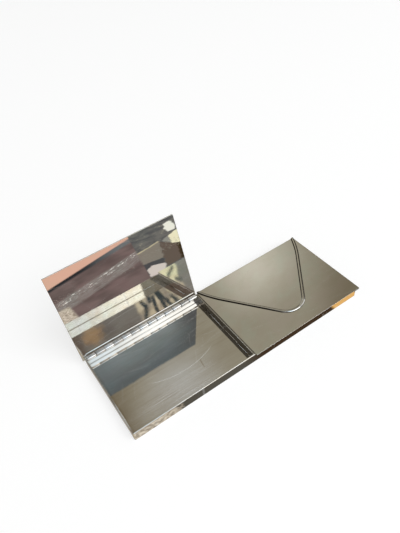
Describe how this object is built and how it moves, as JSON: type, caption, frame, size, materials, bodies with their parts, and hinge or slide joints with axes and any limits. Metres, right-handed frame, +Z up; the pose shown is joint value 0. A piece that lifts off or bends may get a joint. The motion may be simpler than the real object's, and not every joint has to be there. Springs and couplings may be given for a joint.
{
  "type": "envelope box",
  "caption": "Shallow silver-plated box with side-by-side compartments under separate hinged lids, each lid with a raised bead in the outline of an envelope's flap.",
  "frame": {"origin": "middle of the underside of the case", "axes": "+X along the front wall towards the closed right lid, +Y from the front wall to the hinges, +Z up"},
  "size_m": [0.2032, 0.0939, 0.0797],
  "materials": {
    "plated_wall": "silver plate, polished, with worn warm edges",
    "plated_lid": "silver plate, polished, with fine scratches",
    "polished_bead": "silver plate, bright polished half-round wire",
    "brushed_floor": "silver plate, worn and brushed by use",
    "bright_hinge": "silver plate, bright",
    "pin_wire": "drawn wire"
  },
  "bodies": {
    "case": {"bottom_plate": "brushed_floor", "front_wall": "plated_wall", "back_wall": "plated_wall", "left_end_wall": "plated_wall", "right_end_wall": "plated_wall", "divider_wall": "plated_wall", "left_case_bearer": "bright_hinge", "right_case_bearer": "bright_hinge", "left_hinge_pin": "pin_wire", "right_hinge_pin": "pin_wire", "left_case_knuckle_1": "bright_hinge", "left_case_knuckle_2": "bright_hinge", "left_case_knuckle_3": "bright_hinge", "left_case_knuckle_4": "bright_hinge", "left_case_knuckle_5": "bright_hinge", "left_case_knuckle_6": "bright_hinge", "left_case_knuckle_7": "bright_hinge", "right_case_knuckle_1": "bright_hinge", "right_case_knuckle_2": "bright_hinge", "right_case_knuckle_3": "bright_hinge", "right_case_knuckle_4": "bright_hinge", "right_case_knuckle_5": "bright_hinge", "right_case_knuckle_6": "bright_hinge", "right_case_knuckle_7": "bright_hinge"},
    "left_lid": {"left_lid_plate": "plated_lid", "left_flap_bead": "polished_bead", "left_lid_bearer": "bright_hinge", "left_lid_knuckle_1": "bright_hinge", "left_lid_knuckle_2": "bright_hinge", "left_lid_knuckle_3": "bright_hinge", "left_lid_knuckle_4": "bright_hinge", "left_lid_knuckle_5": "bright_hinge", "left_lid_knuckle_6": "bright_hinge"},
    "right_lid": {"right_lid_plate": "plated_lid", "right_flap_bead": "polished_bead", "right_lid_bearer": "bright_hinge", "right_lid_knuckle_1": "bright_hinge", "right_lid_knuckle_2": "bright_hinge", "right_lid_knuckle_3": "bright_hinge", "right_lid_knuckle_4": "bright_hinge", "right_lid_knuckle_5": "bright_hinge", "right_lid_knuckle_6": "bright_hinge"}
  },
  "joints": [
    {"name": "left_lid_hinge", "type": "hinge", "parent": "case", "child": "left_lid", "pos_m": [-0.0497, 0.036, 0.0066], "axis": [-1, 0, 0], "range_deg": [-102.4, 0]},
    {"name": "right_lid_hinge", "type": "hinge", "parent": "case", "child": "right_lid", "pos_m": [0.0497, 0.036, 0.0066], "axis": [-1, 0, 0], "range_deg": [0, 102.4]}
  ]
}
